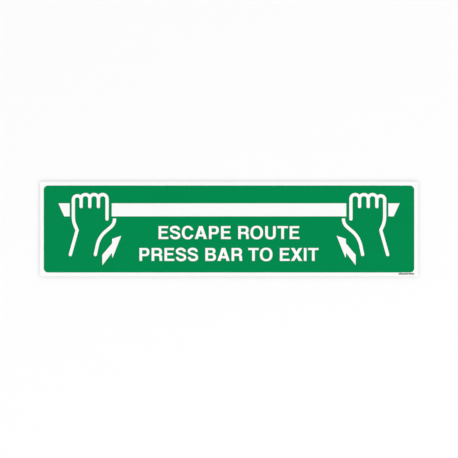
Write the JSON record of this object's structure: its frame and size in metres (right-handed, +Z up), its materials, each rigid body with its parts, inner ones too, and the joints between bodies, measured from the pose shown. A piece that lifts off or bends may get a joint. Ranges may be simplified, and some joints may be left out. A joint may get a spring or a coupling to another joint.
{
  "type": "push-bar escape door sign",
  "caption": "Flat rectangular escape door sign: aluminium composite panel with foam tape behind, green film, and hands pushing a bar with lettering cut in white film.",
  "frame": {"origin": "middle of the sticking plane: the centre of the middle foam tape's rear face", "axes": "+X along the sign to the reader's right, +Z up, and the face looks towards -Y, so +Y runs into the door"},
  "size_m": [0.6, 0.0054, 0.15],
  "materials": {
    "white_film": "satin self-adhesive vinyl film",
    "green_film": "satin self-adhesive vinyl film, safety green",
    "white_coating": "semi-gloss coil coating on 0.3 mm aluminium",
    "polyethylene_core": "sawn edge of a dark polyethylene core",
    "mill_aluminium": "mill finish with fine rolling lines",
    "foam_tape": "closed-cell acrylic foam with a tacky adhesive face"
  },
  "bodies": {
    "root": {"foam_tape_left": "foam_tape", "foam_tape_middle": "foam_tape", "foam_tape_right": "foam_tape", "rear_skin": "mill_aluminium", "core": "polyethylene_core", "front_skin": "white_coating", "green_field": "green_film", "bar_middle": "white_film", "left_bar_end": "white_film", "right_bar_end": "white_film", "left_fingers": "white_film", "right_fingers": "white_film", "left_thumb": "white_film", "right_thumb": "white_film", "left_arrow": "white_film", "right_arrow": "white_film", "letter_upper_01_E": "white_film", "letter_upper_02_S": "white_film", "letter_upper_03_C": "white_film", "letter_upper_04_A": "white_film", "letter_upper_05_P": "white_film", "letter_upper_06_E": "white_film", "letter_upper_07_R": "white_film", "letter_upper_08_O": "white_film", "letter_upper_09_U": "white_film", "letter_upper_10_T": "white_film", "letter_upper_11_E": "white_film", "letter_lower_01_P": "white_film", "letter_lower_02_R": "white_film", "letter_lower_03_E": "white_film", "letter_lower_04_S": "white_film", "letter_lower_05_S": "white_film", "letter_lower_06_B": "white_film", "letter_lower_07_A": "white_film", "letter_lower_08_R": "white_film", "letter_lower_09_T": "white_film", "letter_lower_10_O": "white_film", "letter_lower_11_E": "white_film", "letter_lower_12_X": "white_film", "letter_lower_13_I": "white_film", "letter_lower_14_T": "white_film"}
  },
  "joints": []
}
